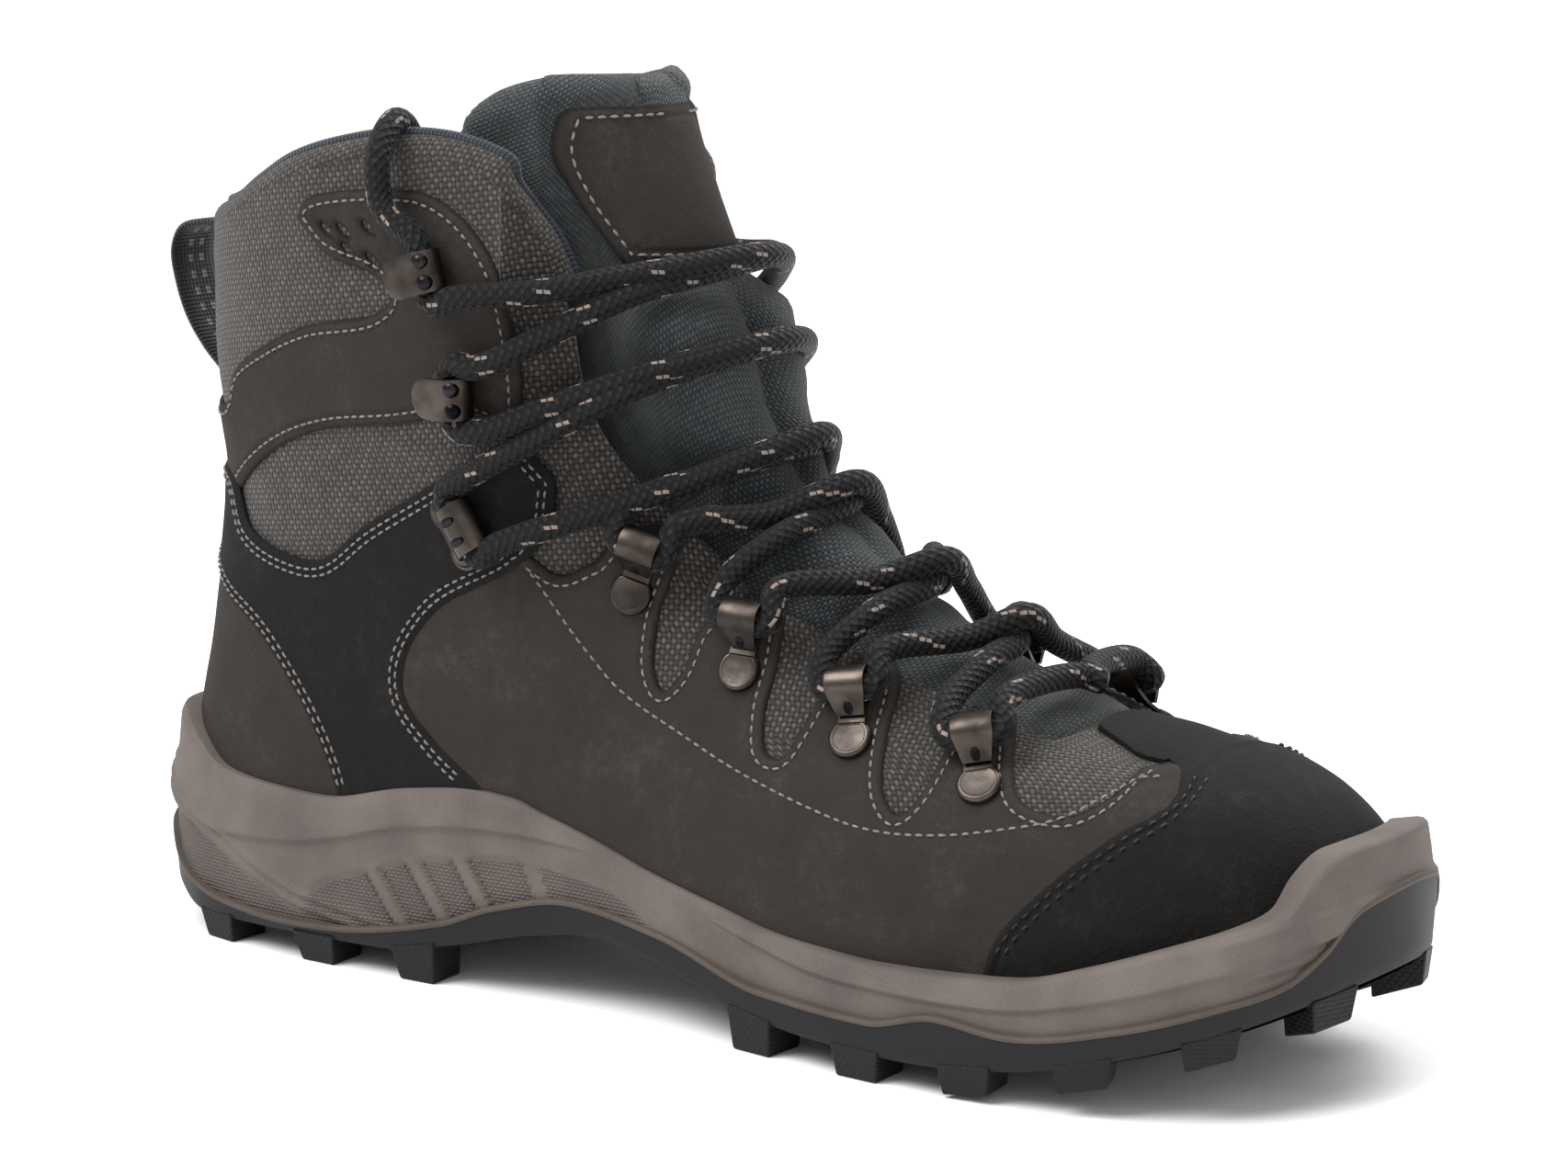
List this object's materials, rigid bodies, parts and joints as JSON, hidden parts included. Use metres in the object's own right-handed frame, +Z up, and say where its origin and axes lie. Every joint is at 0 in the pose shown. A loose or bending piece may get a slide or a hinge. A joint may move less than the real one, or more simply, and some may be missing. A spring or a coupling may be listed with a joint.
{
  "type": "hiking boot",
  "caption": "Ankle-high lace-up hiking boot with padded collar and tongue, speed hooks, loop rings, moulded midsole and lugged outsole.",
  "frame": {"origin": "on the ground under the middle of the boot's own box, laces left out", "axes": "+X towards the toe, -Y the outer side of a right boot, +Z up"},
  "size_m": [0.3158, 0.1064, 0.201],
  "materials": {
    "nubuck": "oiled nubuck leather, dark brown-grey, fine grain",
    "black_suede": "black suede with short nap",
    "upper_textile": "coarse woven textile, brown-grey with lighter threads",
    "tongue_textile": "dark blue-grey woven textile over foam",
    "collar_lining": "navy knitted lining",
    "foam": "grey textile-faced foam",
    "board": "fibre board and moulded plastic stiffeners",
    "midsole_rubber": "warm grey moulded polyurethane, satin",
    "outsole_rubber": "black carbon rubber",
    "webbing": "black webbing with grey flecks",
    "lace_braid": "black round braid with pale flecks",
    "aglet_plastic": "clear black plastic",
    "antique_metal": "antique gunmetal with worn bright edges"
  },
  "bodies": {
    "boot": {"toe_cap": "black_suede", "heel_panel": "nubuck", "ankle_overlay_outer": "black_suede", "cuff_overlay_outer": "nubuck", "vamp_outer": "nubuck", "textile_quarter_outer": "upper_textile", "ankle_overlay_inner": "black_suede", "cuff_overlay_inner": "nubuck", "vamp_inner": "nubuck", "textile_quarter_inner": "upper_textile", "heel_counter": "board", "toe_puff": "board", "lining": "foam", "cuff_foam": "foam", "cuff_lining": "collar_lining", "tongue_lower": "tongue_textile", "outsole": "outsole_rubber", "midsole": "midsole_rubber", "shank": "board", "insole_board": "board", "footbed": "foam", "pull_loop": "webbing", "lace_ring_outer_1": "antique_metal", "lace_ring_outer_2": "antique_metal", "lace_ring_outer_3": "antique_metal", "lace_ring_outer_4": "antique_metal", "lace_cleat_outer": "antique_metal", "lace_hook_outer_1": "antique_metal", "lace_hook_outer_2": "antique_metal", "lace_ring_inner_1": "antique_metal", "lace_ring_inner_2": "antique_metal", "lace_ring_inner_3": "antique_metal", "lace_ring_inner_4": "antique_metal", "lace_cleat_inner": "antique_metal", "lace_hook_inner_1": "antique_metal", "lace_hook_inner_2": "antique_metal", "ring_rivet_outer_1": "antique_metal", "ring_rivet_outer_2": "antique_metal", "ring_rivet_outer_3": "antique_metal", "ring_rivet_outer_4": "antique_metal", "cleat_rivet_outer_1": "antique_metal", "cleat_rivet_outer_2": "antique_metal", "ring_rivet_inner_1": "antique_metal", "ring_rivet_inner_2": "antique_metal", "ring_rivet_inner_3": "antique_metal", "ring_rivet_inner_4": "antique_metal", "cleat_rivet_inner_1": "antique_metal", "cleat_rivet_inner_2": "antique_metal", "lace": "lace_braid", "aglet_outer": "aglet_plastic", "aglet_inner": "aglet_plastic"},
    "tongue": {"tongue_upper": "tongue_textile", "tongue_patch": "nubuck"}
  },
  "joints": [
    {"name": "tongue_flex", "type": "hinge", "parent": "boot", "child": "tongue", "pos_m": [-0.0281, 0.00248, 0.12], "axis": [0, -1, 0], "range_deg": [0, 8], "stiffness_Nm_per_rad": 0.5}
  ]
}
